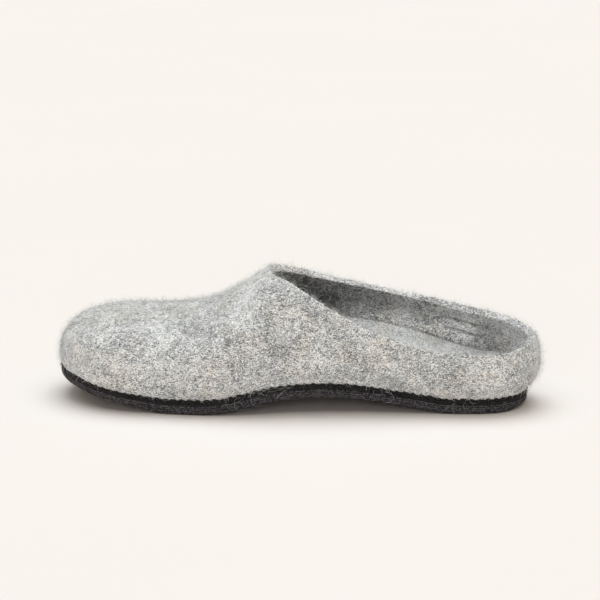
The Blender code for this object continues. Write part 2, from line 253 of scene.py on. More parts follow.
class Rib:
    """One upright plane from the crown line out to the felt's widest line."""

    def __init__(self, side, at, cap):
        self.side = side
        self.at = at
        self.seat_at = min(max(at, TOE_CENTRE_AT), HEEL_CENTRE_AT)
        width = BALL_WIDTH + (HEEL_WIDTH - BALL_WIDTH) * smooth(OUTLINE, "heel", at)
        share = smooth(OUTLINE, "lateral" if side == LATERAL else "medial", at)
        middle = smooth(CROWN, "offset", self.seat_at / THROAT_AT) * BALL_WIDTH
        self.seat = Vector((x_at(self.seat_at), middle, 0))
        edge = Vector((x_at(at), middle + side * share * width * cap, 0))
        self.reach = (edge - self.seat).length
        self.way = (edge - self.seat) / self.reach
        self.foot_reach = self.reach - SOLE_TUCK * smooth(TUCK, "share", at)

    def place(self, reach, height):
        point = self.seat + self.way * reach
        return Vector((point.x, point.y, height))

    def share_at(self, reach):
        return at_x(self.seat.x + self.way.x * reach)

    def side_line(self):
        """(reach, height) along the felt's outer side, from its foot up to the crown or the rim."""
        foot = felt_foot(self.share_at(self.foot_reach))
        crown = crown_height(self.seat_at)
        level = foot + smooth(OUTLINE, "level", self.at) * (crown - foot)
        power = 2 / smooth(OUTLINE, "full", self.at)
        tuck = self.reach - self.foot_reach
        low = []
        for step in range(FINE_STEPS):
            drop = 1 - step / FINE_STEPS
            low.append((self.reach - tuck * drop**TUCK_POWER, level - (level - foot) * drop))
        last = math.pi / 2
        if self.seat_at > THROAT_AT:
            share = (rim_height(self.side, self.at) - level) / (crown - level)
            last = math.asin(min(1.0, max(0.0, share)) ** (1 / power))
        high = []
        for step in range(FINE_STEPS + 1):
            angle = last * (step / FINE_STEPS) ** (1 / power)
            out = max(0.0, math.cos(angle)) ** power
            high.append((self.reach * out, level + (crown - level) * math.sin(angle) ** power))
        return low + high

    def inner_reach(self, height):
        """Reach of the felt's inner face at a height, one wall inside the outer side."""
        near = [(reach, height - z) for reach, z in self.side_line() if abs(height - z) < FELT_WALL]
        return min(reach - math.sqrt(FELT_WALL**2 - rise**2) for reach, rise in near)

    def wall(self):
        return [self.place(*point) for point in even_steps(self.side_line(), WALL_STEPS)]


def even_steps(line, count):
    """The points that cut a line of (reach, height) into steps of one length."""
    runs = [0.0]
    for a, b in zip(line, line[1:]):
        runs.append(runs[-1] + math.dist(a, b))
    points, k = [], 0
    for step in range(count + 1):
        run = runs[-1] * step / count
        while k < len(line) - 2 and runs[k + 1] < run:
            k += 1
        t = (run - runs[k]) / max(runs[k + 1] - runs[k], WELD)
        points.append(tuple(a + (b - a) * min(t, 1.0) for a, b in zip(line[k], line[k + 1])))
    return points


def make_ribs():
    """The ribs round the shoe: down the outer side from the toe, back up the inner side."""
    sides = {}
    for side in (LATERAL, MEDIAL):
        ribs = []
        for step in range(TOE_RIBS):
            angle = math.pi / 2 * step / TOE_RIBS
            cap = (1 - math.cos(angle) ** TOE_ROUND[side]) ** (1 / TOE_ROUND[side])
            ribs.append(Rib(side, TOE_CENTRE_AT * (1 - math.cos(angle)), cap))
        for step in range(VAMP_RIBS):
            ribs.append(Rib(side, TOE_CENTRE_AT + (THROAT_AT - TOE_CENTRE_AT) * step / VAMP_RIBS, 1.0))
        for step in range(COLLAR_RIBS):
            share = (step / COLLAR_RIBS) ** THROAT_CROWDING
            ribs.append(Rib(side, THROAT_AT + (HEEL_CENTRE_AT - THROAT_AT) * share, 1.0))
        for step in range(HEEL_RIBS + 1):
            angle = math.pi / 2 * step / HEEL_RIBS
            cap = max(0.0, 1 - math.sin(angle) ** HEEL_ROUND[side]) ** (1 / HEEL_ROUND[side])
            ribs.append(Rib(side, HEEL_CENTRE_AT + (1 - HEEL_CENTRE_AT) * math.sin(angle), cap))
        sides[side] = ribs
    return sides[LATERAL] + sides[MEDIAL][-2:0:-1]


def put(name, data):
    """An object in the scene that holds a mesh, a curve, a lamp or a camera."""
    thing = bpy.data.objects.new(name, data)
    bpy.context.scene.collection.objects.link(thing)
    return thing


def plain_mesh(thing):
    """The mesh that an object's curve or modifiers give."""
    depsgraph = bpy.context.evaluated_depsgraph_get()
    return bpy.data.meshes.new_from_object(thing.evaluated_get(depsgraph))


def skin(name, lines):
    """An object stretched over a closed ring of lines with as many points each."""
    shape = bmesh.new()
    rows = [[shape.verts.new(point) for point in line] for line in lines]
    for line, following in zip(rows, rows[1:] + rows[:1]):
        for a, b, c, d in zip(line, following, following[1:], line[1:]):
            shape.faces.new((a, b, c, d))
    bmesh.ops.remove_doubles(shape, verts=shape.verts, dist=WELD)
    mesh = bpy.data.meshes.new(name)
    shape.to_mesh(mesh)
    shape.free()
    mesh.shade_smooth()
    return put(name, mesh)


def floor_line(rib, reach, height, steps):
    """Points from the middle of the shoe out to a reach, at a height that follows the length."""
    return [rib.place(reach * k / steps, height(rib.share_at(reach * k / steps))) for k in range(steps)]


# Soft forms that the wearer and the maker left, as troughs and ridges in the shoe's
# own sizes: a place along the length, a side, how high on the wall from its foot (0)
# to the crown (1), half sizes along and across, a lean of its length, and a depth.
Form = namedtuple("Form", "at side high along across lean depth")
SOFT_FORMS = (
    Form(0.27, LATERAL, 0.14, 0.012, 0.004, -35, 0.0006),
    Form(0.40, LATERAL, 0.40, 0.022, 0.005, 62, -0.0005),
    Form(0.45, LATERAL, 0.52, 0.018, 0.004, 55, 0.0005),
    Form(0.16, LATERAL, 0.72, 0.016, 0.007, 12, 0.0005),
    Form(0.33, LATERAL, 0.80, 0.016, 0.006, -20, 0.0005),
    Form(0.62, LATERAL, 0.30, 0.020, 0.006, -15, 0.0006),
    Form(0.86, LATERAL, 0.35, 0.014, 0.006, 20, 0.0004),
    Form(0.24, MEDIAL, 0.45, 0.018, 0.007, 25, 0.0006),
    Form(0.52, MEDIAL, 0.40, 0.020, 0.006, -20, 0.0006),
)


def soft_form_depth(point):
    """How far the listed forms move a point of the outer face inward."""
    depth = 0.0
    at = at_x(point.x)
    for form in SOFT_FORMS:
        if form.side * point.y < 0:
            continue
        foot = felt_foot(at)
        up = point.z - (foot + form.high * (crown_height(min(at, THROAT_AT)) - foot))
        along = point.x - x_at(form.at)
        lean = math.radians(form.lean)
        a = (along * math.cos(lean) + up * math.sin(lean)) / form.along
        b = (up * math.cos(lean) - along * math.sin(lean)) / form.across
        depth += form.depth * math.exp(-a * a - b * b)
    return depth


# Two soft creases inside the heel's inner wall, where the felt folded over the last:
# how far below the rim they start, their half width and depth. The row between is a ridge.
Crease = namedtuple("Crease", "below half deep")
HEEL_CREASES = (
    Crease(0.0094, 0.0007, 0.0019),
    Crease(0.0124, 0.0014, -0.0008),
    Crease(0.0156, 0.0007, 0.0018),
)
CREASE_FROM_AT, CREASE_TO_AT = 0.798, 0.884
CREASE_FADE = 0.006  # share of the shoe's length over which a crease's end runs out
CREASE_SLOPE = 0.020  # how far they fall away from the rim over the shoe's whole length
CREASE_WANDER = 0.0005
CREASE_WAVES_PER_METRE = 120


def crease_depth(point):
    """How far the creases move a point of the inner heel wall into the felt."""
    at = at_x(point.x)
    if point.y < 0 or at < THROAT_AT:
        return 0.0
    fade = 1 / (1 + math.exp((CREASE_FROM_AT - at) / CREASE_FADE))
    fade *= 1 / (1 + math.exp((at - CREASE_TO_AT) / CREASE_FADE))
    below = rim_height(MEDIAL, at) - point.z - CREASE_SLOPE * (at - CREASE_FROM_AT)
    below += CREASE_WANDER * noise.noise(point * CREASE_WAVES_PER_METRE)
    return fade * sum(c.deep * math.exp(-(((below - c.below) / c.half) ** 2)) for c in HEEL_CREASES)


# The inner face is painted darker: painted shade, deepest under the vamp and in the creases,
# because the lights here reach further in than the real ones did. From its foot up to the
# rubbed heights the arch wall is light again, as if a foot had brushed it, which is a guess.
# From its foot up to the given heights the arch wall carries painted light instead, where the
# lights leave it in shade.
INSIDE_PAINTED_SHADE = 0.92
INSIDE_CLEARS_AT = 1.12  # past the heel, so that the inside stays a little darker there
CREASE_PAINTED_SHADE = 0.70
PAINTED_LIGHT_LEVEL = 1.15
PAINTED_LIGHT_HEIGHTS = (0.016, 0.030)
PAINTED_LIGHT_STARTS_AT = (0.50, 0.70)
PAINTED_LIGHT_ENDS_AT = (0.80, 0.92)
TONE_SIZES = ((0.014, 0.34), (0.0055, 0.22))  # spacing and strength of the uneven tone inside


def smooth_share(value, start, end):
    """0 before the start, 1 after the end, and a smooth step between."""
    t = min(1.0, max(0.0, (value - start) / (end - start)))
    return t * t * (3 - 2 * t)


def inside_shade(point):
    """The inner face's tone at a point, as a share of the outer wool: painted shade and painted light, with
    an uneven tone.
    """
    at = at_x(point.x)
    # painted shade, deepest from the throat forward and clearing towards the heel
    level = 1 - INSIDE_PAINTED_SHADE * (1 - smooth_share(at, THROAT_AT, INSIDE_CLEARS_AT))
    # painted light on the arch wall, from its foot up to the given heights
    painted_light = 1 - smooth_share(point.z - felt_foot(at) - FELT_WALL, *PAINTED_LIGHT_HEIGHTS)
    painted_light *= smooth_share(at, *PAINTED_LIGHT_STARTS_AT) * (1 - smooth_share(at, *PAINTED_LIGHT_ENDS_AT))
    level += (PAINTED_LIGHT_LEVEL - level) * painted_light
    for spacing, strength in TONE_SIZES:
        level *= 1 + strength * noise.noise(point / spacing)
    deepest = max(crease.deep for crease in HEEL_CREASES)
    # painted shade in the creases
    return level * (1 - CREASE_PAINTED_SHADE * max(0.0, crease_depth(point)) / deepest)


OUTER, INNER, RIM_FACE = 0, 1, 2  # slots that tell the felt's faces apart


def felt_the_wall(piece):
    """Gives the drawn skin the felt's thickness, and marks its inner face and its rim."""
    for _ in (OUTER, INNER, RIM_FACE):
        piece.data.materials.append(None)
    wall = piece.modifiers.new("felt", "SOLIDIFY")
    wall.thickness = FELT_WALL
    wall.offset = -1
    wall.use_even_offset = True
    wall.use_quality_normals = True
    wall.material_offset = INNER
    wall.material_offset_rim = RIM_FACE
    mesh = plain_mesh(piece)
    piece.modifiers.clear()
    piece.data = mesh


RIM_RELAX = 0.5
RIM_ROWS = 2  # rows of points beside the rim that relax with it
RIM_ROUNDS = 3


def soften_rim(shape):
    """Cuts the rim's faces finer and relaxes its two corners, as soft as a knife leaves felt."""
    rim_edges = []
    for edge in shape.edges:
        if len(edge.link_faces) == 2 and all(f.material_index == RIM_FACE for f in edge.link_faces):
            rim_edges.append(edge)
    bmesh.ops.subdivide_edges(shape, edges=rim_edges, cuts=RIM_CUTS, use_grid_fill=True)
    near_rim = {v for f in shape.faces if f.material_index == RIM_FACE for v in f.verts}
    for _ in range(RIM_ROWS):
        near_rim |= {e.other_vert(v) for v in near_rim for e in v.link_edges}
    for _ in range(RIM_ROUNDS):
        bmesh.ops.smooth_vert(
            shape, verts=list(near_rim), factor=RIM_RELAX,
            use_axis_x=True, use_axis_y=True, use_axis_z=True,
        )
    shape.normal_update()


LUMP_SIZES = ((0.016, 0.00032), (0.0065, 0.00016), (0.0030, 0.00008))  # spacing, height
LUMP_GAIN = 1.6
LUMP_SHIFT = 7.3  # keeps the three sizes of lump from lying on each other
INSIDE_NAP = 0.55
NAP_FROM_AT = THROAT_AT - 0.06  # inside, fibres grow only where they can be seen
OUTSIDE_NAP_ABOVE = 0.0030
INSIDE_WALL_ABOVE = 0.004
LOW_EDGE_FROM, LOW_EDGE_FADE = 0.0005, 0.004  # the low edge stays where the band is sewn on


def work_surface(shape):
    """Moves each point by the forms, creases and lumps, and keeps its nap and its painted shade and light.
    """
    nap = shape.verts.layers.float.new("nap")
    shade = shape.verts.layers.float.new("shade")
    moves = []
    for v in shape.verts:
        kinds = {f.material_index for f in v.link_faces}
        at = at_x(v.co.x)
        foot = felt_foot(at)
        if kinds == {INNER}:
            on_wall = v.co.z > foot + FELT_WALL + INSIDE_WALL_ABOVE
            v[nap] = INSIDE_NAP if on_wall and at > NAP_FROM_AT else 0.0
            v[shade] = inside_shade(v.co)
            free = 1.0 if on_wall else 0.0
            move = -crease_depth(v.co) * free
        else:
            v[nap] = 1.0 if v.co.z > foot + OUTSIDE_NAP_ABOVE else 0.0
            v[shade] = 1.0
            free = min(1.0, max(0.0, (v.co.z - foot - LOW_EDGE_FROM) / LOW_EDGE_FADE))
            move = 0.0 if RIM_FACE in kinds else -soft_form_depth(v.co) * free
        for k, (spacing, height) in enumerate(LUMP_SIZES):
            shift = Vector((k * LUMP_SHIFT, 0, 0))
            move += free * height * noise.noise(v.co / spacing + shift) * LUMP_GAIN
        moves.append((v, v.normal * move))
    for v, move in moves:
        v.co += move


ribs = make_ribs()
body = skin("felt_body", [floor_line(r, r.foot_reach, felt_foot, FLOOR_STEPS) + r.wall() for r in ribs])
felt_the_wall(body)
worked = bmesh.new()
worked.from_mesh(body.data)
soften_rim(worked)
work_surface(worked)
for face in worked.faces:
    face.material_index = 0
    face.smooth = True
worked.to_mesh(body.data)
worked.free()
body.data.materials.clear()


def linear(hex_colour):
    """An sRGB hex colour as Blender's linear colour."""
    parts = [int(hex_colour[k : k + 2], 16) / 255 for k in (1, 3, 5)]
    return tuple(c / 12.92 if c <= 0.04045 else ((c + 0.055) / 1.055) ** 2.4 for c in parts) + (1.0,)


def add(tree, kind, inputs=None, **settings):
    """Adds a node with its settings, and sets or links its inputs. A node given as an
    input stands for its first output."""
    node = tree.nodes.new(kind)
    for name, value in settings.items():
        setattr(node, name, value)
    for name, value in (inputs or {}).items():
        if isinstance(value, bpy.types.Node):
            value = value.outputs[0]
        if isinstance(value, bpy.types.NodeSocket):
            tree.links.new(value, node.inputs[name])
        else:
            node.inputs[name].default_value = value
    return node


def new_material(name, roughness, sheen=0.0, specular=0.25):
    """A material with its Principled shader, ready for colour and bump."""
    material = bpy.data.materials.new(name)
    material.use_nodes = True
    shader = material.node_tree.nodes["Principled BSDF"]
    shader.inputs["Roughness"].default_value = roughness
    shader.inputs["Specular IOR Level"].default_value = specular
    shader.inputs["Sheen Weight"].default_value = sheen
    shader.inputs["Sheen Roughness"].default_value = 0.6
    shader.inputs["Sheen Tint"].default_value = linear("#ffffff")
    return material, material.node_tree, shader


# Matted wool. Real fibres are 0.03 mm thick, so a lock of them is drawn, as fine as the
# render can show. Flecks, clots and clouds come from the carded wool. Each pattern has
# its spacing, detail, roughness and how far it moves the wool from dark to light.
Tone = namedtuple("Tone", "spacing detail roughness gain")
FIBRE = Tone(0.00047, 2.0, 0.6, 4.3)
FLECK = Tone(0.00045, 0.0, 0.5, 2.0)
SPECK = Tone(0.00085, 1.0, 0.5, 0.8)
CLOT = Tone(0.0032, 1.0, 0.5, 0.9)
CLOUD = Tone(0.016, 2.0, 0.6, 1.25)
FIBRE_LENGTHENED = 0.28  # scale along a lock, 3.6 times as long as wide
FIBRE_BENDS = 0.4  # bends of a lock in its own spacing
FIBRE_WANDER = 2.2  # how far a lock bends aside, in its own spacing
FIBRE_TURNS = ((0.3, 0.7, 0.5), (-0.6, -0.9, 0.4), (0.9, 0.1, -0.8))
PATCH_SPACING = 0.0034  # a patch within which the fibres lie one way
PATCH_EDGE = (0.44, 0.56)
TONE_STOPS = (0.12, 0.50, 0.88)
WARM_SPACING = 0.013  # patches of cream wool in the grey
WARM_RANGE = (0.46, 0.66)
WARM_WOOL = "#fdf9f4"
WOOL_BUMP, WOOL_RELIEF = 0.55, 0.0006
SPECK_RELIEF = 0.8


def lying_fibres(tree, place, bent):
    """Streaks of fibre in patches, each patch with one of three ways to lie."""
    streaks = []
    for turn in FIBRE_TURNS:
        stretch = {"Vector": bent, "Rotation": turn, "Scale": (FIBRE_LENGTHENED, 1.0, 1.0)}
        streaks.append(add(
            tree, "ShaderNodeTexNoise",
            {"Vector": add(tree, "ShaderNodeMapping", stretch), "Scale": 1 / FIBRE.spacing,
             "Detail": FIBRE.detail, "Roughness": FIBRE.roughness},
        ))
    patch = add(tree, "ShaderNodeTexNoise", {"Vector": place, "Scale": 1 / PATCH_SPACING, "Detail": 1.0})
    patches = add(tree, "ShaderNodeSeparateColor", {"Color": patch.outputs["Color"]})
    lying = streaks[0]
    for channel, streak in enumerate(streaks[1:]):
        step = add(
            tree, "ShaderNodeMapRange",
            {"Value": patches.outputs[channel], "From Min": PATCH_EDGE[0], "From Max": PATCH_EDGE[1]},
            interpolation_type="SMOOTHSTEP",
        )
        lying = add(tree, "ShaderNodeMix", {0: step, 2: lying, 3: streak}, data_type="FLOAT")
    return lying


def felted_wool(name, colours, contrast=1.0, sheen=0.3, shaded=False):
    """Felted wool: fine streaks of dark and light fibre in patches that lie different
    ways, cloudy where the batts were laid unevenly, with a dull soft surface. Colours
    are dark, middle and light. Shaded wool also takes its piece's painted shade."""
    material, tree, shader = new_material(name, 0.95, sheen)
    place = add(tree, "ShaderNodeTexCoord").outputs["Object"]
    bend = add(
        tree, "ShaderNodeTexNoise", {"Vector": place, "Scale": FIBRE_BENDS / FIBRE.spacing, "Detail": 1.0}
    )
    centred = add(
        tree, "ShaderNodeVectorMath", {0: bend.outputs["Color"], 1: (0.5, 0.5, 0.5)}, operation="SUBTRACT"
    )
    pull = add(
        tree, "ShaderNodeVectorMath", {0: centred, "Scale": FIBRE_WANDER * FIBRE.spacing}, operation="SCALE"
    )
    bent = add(tree, "ShaderNodeVectorMath", {0: place, 1: pull}, operation="ADD")
    patterns = {FIBRE: lying_fibres(tree, place, bent)}
    for tone in (FLECK, SPECK, CLOT, CLOUD):
        patterns[tone] = add(
            tree, "ShaderNodeTexNoise",
            {"Vector": place if tone is CLOUD else bent, "Scale": 1 / tone.spacing,
             "Detail": tone.detail, "Roughness": tone.roughness},
        )
    level = 0.5
    for tone, pattern in patterns.items():
        above = add(tree, "ShaderNodeMath", {0: pattern, 1: 0.5}, operation="SUBTRACT")
        gain = tone.gain * contrast
        level = add(tree, "ShaderNodeMath", {0: above, 1: gain, 2: level}, operation="MULTIPLY_ADD")
    ramp = add(tree, "ShaderNodeValToRGB", {"Fac": level})
    stops = ramp.color_ramp.elements
    stops.new(TONE_STOPS[1])
    for stop, position, colour in zip(stops, TONE_STOPS, colours):
        stop.position = position
        stop.color = linear(colour)
    warm = add(tree, "ShaderNodeTexNoise", {"Vector": bent, "Scale": 1 / WARM_SPACING, "Detail": 2.0})
    warm_share = add(
        tree, "ShaderNodeMapRange", {"Value": warm, "From Min": WARM_RANGE[0], "From Max": WARM_RANGE[1]}
    )
    dyed = add(
        tree, "ShaderNodeMix", {0: warm_share, 6: ramp, 7: linear(WARM_WOOL)},
        data_type="RGBA", blend_type="MULTIPLY",
    ).outputs[2]
    if shaded:
        shade = add(tree, "ShaderNodeAttribute", attribute_name="shade").outputs["Fac"]
        dyed = add(tree, "ShaderNodeVectorMath", {0: dyed, "Scale": shade}, operation="SCALE").outputs[0]
    tree.links.new(dyed, shader.inputs["Base Color"])
    height = add(
        tree, "ShaderNodeMath", {0: patterns[SPECK], 1: SPECK_RELIEF, 2: patterns[FIBRE]},
        operation="MULTIPLY_ADD",
    )
    bump = add(tree, "ShaderNodeBump", {"Strength": WOOL_BUMP, "Distance": WOOL_RELIEF, "Height": height})
    tree.links.new(bump.outputs["Normal"], shader.inputs["Normal"])
    return material


GREY_WOOL = ("#6d7275", "#cfd2d2", "#ffffff")
body.data.materials.append(felted_wool("felted_grey_wool", GREY_WOOL, shaded=True))
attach(body, "root")
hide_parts("upper")


# The black edge band
# A thin black felt layer sewn between the body and the rubber. Its cut edge shows as a
# dark fuzzy line all round, a little proud of the body.

SOLE_LIP = 0.0008
EDGE_BULGE = 0.0004
BAND_STEPS = 5
LAYER_STEPS = 8
BLACK_FELT = ("#030303", "#0d0c0d", "#252325")
Edge = namedtuple("Edge", "out down")


def midsole_foot(at):
    return midsole_top(at) - MIDSOLE_THICKNESS * smooth(SOLE_LINE, "depth", at)


def layer(name, top, bottom, edges):
    """A flat piece of the sole between two heights, with the side that its edges give."""
    lines = []
    for rib in ribs:
        reach = rib.foot_reach + SOLE_LIP
        high = floor_line(rib, reach + edges[0].out, top, LAYER_STEPS)
        low = floor_line(rib, reach + edges[-1].out, bottom, LAYER_STEPS)
        side = []
        for edge in edges:
            at = rib.share_at(reach + edge.out)
            side.append(rib.place(reach + edge.out, top(at) + (bottom(at) - top(at)) * edge.down))
        lines.append(low + side[::-1] + high[::-1])
    return skin(name, lines)


band_edges = []
for step in range(BAND_STEPS + 1):
    down = step / BAND_STEPS
    band_edges.append(Edge(EDGE_BULGE / 2 * math.sin(math.pi * step / BAND_STEPS), down))
band = layer("edge_band", midsole_top, midsole_foot, band_edges)
band.data.materials.append(felted_wool("black_edge_felt", BLACK_FELT, contrast=1.2, sheen=0.08))
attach(band, "root")
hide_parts("midsole")


# The rubber sole
# A sheet of dark grey sole rubber, glued on and trimmed to the shoe, so that its edge
# keeps the faint lengthwise lines of the trimming knife. Dull, with a fine grain.

EDGE_ROUND = 0.0016
CORNER_STEPS = 6
SIDE_STEPS = 6


def outsole_top(at):
    return midsole_foot(at) - SEAT_GAP


def tread(at):
    return outsole_top(at) - OUTSOLE_THICKNESS * smooth(SOLE_LINE, "depth", at)


def sole_side():
    """The sole's side from its top down: a slight swell, then the rounded lower corner."""
    corner = EDGE_ROUND / OUTSOLE_THICKNESS
    edges = [Edge(0.0, 0.0)]
    for step in range(1, SIDE_STEPS + 1):
        down = (1 - corner) * step / SIDE_STEPS
        edges.append(Edge(EDGE_BULGE * min(1.0, down / corner), down))
    for step in range(1, CORNER_STEPS + 1):
        angle = math.pi / 2 * step / CORNER_STEPS
        out = EDGE_BULGE - EDGE_ROUND * (1 - math.cos(angle))
        edges.append(Edge(out, 1 - corner * (1 - math.sin(angle))))
    return edges


sole = layer("rubber_sole", outsole_top, tread, sole_side())

# The height below the sole's top, kept on each point so that the trim lines follow the edge
drop = sole.data.attributes.new("drop", "FLOAT", "POINT")
drop.data.foreach_set("value", [outsole_top(at_x(v.co.x)) - v.co.z for v in sole.data.vertices])

RUBBER_GRAIN = 0.0009
RUBBER_TONES = ("#100f11", "#5c595d")
RUBBER_STOPS = (0.41, 0.68)
TRIM_LINE_SPACING = 0.0011
TRIM_WAVES_PER_METRE = 90.0
TRIM_WAVE = 7.0
TRIM_TONE, TRIM_RELIEF = 0.08, 0.25
RUBBER_BUMP, RUBBER_RELIEF = 0.5, 0.0003


def dye(tree, shader, pattern, colours, places=(0.0, 1.0)):
    """Colours a surface from the first colour to the second as a pattern rises."""
    ramp = add(tree, "ShaderNodeValToRGB", {"Fac": pattern})
    for stop, place, colour in zip(ramp.color_ramp.elements, places, colours):
        stop.position = place
        stop.color = linear(colour)
    tree.links.new(ramp.outputs["Color"], shader.inputs["Base Color"])


def trimmed_rubber():
    """Sole rubber: dull, dark and grainy, with knife lines that make its edge look drawn."""
    material, tree, shader = new_material("sole_rubber", 0.72)
    place = add(tree, "ShaderNodeTexCoord").outputs["Object"]
    level = add(tree, "ShaderNodeAttribute", attribute_name="drop").outputs["Fac"]
    grain = add(tree, "ShaderNodeTexNoise", {"Vector": place, "Scale": 1 / RUBBER_GRAIN, "Detail": 2.0})
    wander = add(
        tree, "ShaderNodeTexNoise", {"Vector": place, "Scale": TRIM_WAVES_PER_METRE, "Detail": 1.0}
    )
    turns = add(tree, "ShaderNodeMath", {0: level, 1: math.tau / TRIM_LINE_SPACING}, operation="MULTIPLY")
    wavy = add(tree, "ShaderNodeMath", {0: wander, 1: TRIM_WAVE, 2: turns}, operation="MULTIPLY_ADD")
    lines = add(tree, "ShaderNodeMath", {0: wavy}, operation="SINE")
    mottle = add(tree, "ShaderNodeMath", {0: lines, 1: TRIM_TONE, 2: grain}, operation="MULTIPLY_ADD")
    dye(tree, shader, mottle, RUBBER_TONES, RUBBER_STOPS)
    relief = add(tree, "ShaderNodeMath", {0: lines, 1: TRIM_RELIEF, 2: grain}, operation="MULTIPLY_ADD")
    bump = add(
        tree, "ShaderNodeBump", {"Strength": RUBBER_BUMP, "Distance": RUBBER_RELIEF, "Height": relief}
    )
    tree.links.new(bump.outputs["Normal"], shader.inputs["Normal"])
    return material


sole.data.materials.append(trimmed_rubber())
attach(sole, "root")
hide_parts("outsole")


# The stitches of the edge
# Black waxed thread that holds the band to the body, in short slanted stitches all
# round, sunk into the top of the band.

STITCH_PITCH = 0.0044
STITCH_LENGTH = 0.0032
# The thread is drawn thick and black, so the stitches are thread and also painted shade for the dark gap at
# the band's top.
STITCH_THICKNESS = 0.0016
STITCH_SLANT = 0.25
STITCH_RISE = 0.0004
STITCH_INSET = 0.0001
STITCH_VARIES = (0.55, 1.25)  # how much thread shows, as the felt swallows some stitches
STITCH_SEGMENTS, STITCH_RINGS = 8, 6
THREAD_TONES = ("#040304", "#131213")
THREAD_TWISTS_PER_METRE = 1800.0


def geometry_tree(name, sizes):
    """A Geometry Nodes tree with named sizes, and what it is given: its geometry and sizes."""
    tree = bpy.data.node_groups.new(name, "GeometryNodeTree")
    tree.interface.new_socket("Geometry", in_out="INPUT", socket_type="NodeSocketGeometry")
    for size in sizes:
        tree.interface.new_socket(size, in_out="INPUT", socket_type="NodeSocketFloat")
    tree.interface.new_socket("Geometry", in_out="OUTPUT", socket_type="NodeSocketGeometry")
    return tree, add(tree, "NodeGroupInput").outputs


def finish_tree(tree, instances, material):
    """Ends a tree in real geometry with its material."""
    real = add(tree, "GeometryNodeRealizeInstances", {"Geometry": instances})
    dyed = add(tree, "GeometryNodeSetMaterial", {"Geometry": real, "Material": material})
    add(tree, "NodeGroupOutput", {0: dyed})


def run_tree(tree, host, name, sizes):
    """The plain mesh object that a tree makes on a host, with its sizes set."""
    modifier = host.modifiers.new(tree.name, "NODES")
    modifier.node_group = tree
    for item in tree.interface.items_tree:
        if item.in_out == "INPUT" and item.name in sizes:
            modifier[item.identifier] = sizes[item.name]
    mesh = plain_mesh(host)
    host.modifiers.remove(modifier)
    mesh.name = name
    mesh.shade_smooth()
    return put(name, mesh)


def waxed_thread():
    """Waxed thread: nearly black, with the twist as a faint mottle and a little shine."""
    material, tree, shader = new_material("black_waxed_thread", 0.6, 0.1)
    place = add(tree, "ShaderNodeTexCoord").outputs["Object"]
    twist = add(
        tree, "ShaderNodeTexNoise", {"Vector": place, "Scale": THREAD_TWISTS_PER_METRE, "Detail": 1.0}
    )
    dye(tree, shader, twist, THREAD_TONES)
    return material


def stitch_line():
    """The line that the needle follows, round the top edge of the band."""
    path = bpy.data.curves.new("stitch_path", "CURVE")
    path.dimensions = "3D"
    spline = path.splines.new("POLY")
    spline.points.add(len(ribs) - 1)
    for point, rib in zip(spline.points, ribs):
        reach = rib.foot_reach + SOLE_LIP - STITCH_INSET
        point.co = (*rib.place(reach, midsole_top(rib.share_at(reach)) + STITCH_RISE), 1.0)
    spline.use_cyclic_u = True
    return put("stitch_path", path)


def stitching_tree(material):
    """Stitches at an even pitch along a path, each a slanted capsule of its own length."""
    tree, given = geometry_tree("edge_stitching", ("Pitch", "Length", "Thickness", "Slant"))
    spots = add(
        tree, "GeometryNodeCurveToPoints",
        {"Curve": given["Geometry"], "Length": given["Pitch"]}, mode="LENGTH",
    )
    capsule = add(
        tree, "GeometryNodeMeshUVSphere",
        {"Segments": STITCH_SEGMENTS, "Rings": STITCH_RINGS, "Radius": 0.5},
    )
    along = add(tree, "FunctionNodeAlignRotationToVector", {"Vector": spots.outputs["Tangent"]}, axis="X")
    slant = add(tree, "ShaderNodeCombineXYZ", {"Y": given["Slant"]})
    lean = add(tree, "FunctionNodeEulerToRotation", {0: slant})
    turned = add(tree, "FunctionNodeRotateRotation", {0: along, 1: lean}, rotation_space="LOCAL")
    size = add(
        tree, "ShaderNodeCombineXYZ",
        {"X": given["Length"], "Y": given["Thickness"], "Z": given["Thickness"]},
    )
    vary = add(
        tree, "FunctionNodeRandomValue",
        {2: STITCH_VARIES[0], 3: STITCH_VARIES[1], "Seed": 4}, data_type="FLOAT",
    )
    scaled = add(tree, "ShaderNodeVectorMath", {0: size, "Scale": vary.outputs[1]}, operation="SCALE")
    sewn = add(
        tree, "GeometryNodeInstanceOnPoints",
        {"Points": spots.outputs["Points"], "Instance": capsule.outputs["Mesh"], "Rotation": turned,
         "Scale": scaled},
    )
    finish_tree(tree, sewn, material)
    return tree


stitch_path = stitch_line()
stitches = run_tree(
    stitching_tree(waxed_thread()), stitch_path, "edge_stitches",
    {"Pitch": STITCH_PITCH, "Length": STITCH_LENGTH, "Thickness": STITCH_THICKNESS, "Slant": STITCH_SLANT},
)
bpy.data.objects.remove(stitch_path)
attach(stitches, "root")


# The insole
# Grey wool felt cut to the foot and laid loose inside. It is pressed harder than the
# body, dished at the heel and raised under the arch.

INSOLE_THICKNESS = 0.0035
HEEL_CUP = 0.0050
ARCH_SUPPORT = 0.0120
INSOLE_PLAY = 0.0012
CUP_POWER = 2.4
INSOLE_STEPS = 30
HEEL_PAINTED_SHADE = 0.30  # painted shade that darkens the insole towards the heel's back
HEEL_PAINTED_SHADE_AT = (0.80, 0.95)
# Grey felt drawn near white: painted light that lifts the footbed where the near rim shades it.
PRESSED_FELT = ("#b2b9bc", "#f1f7f9", "#ffffff")

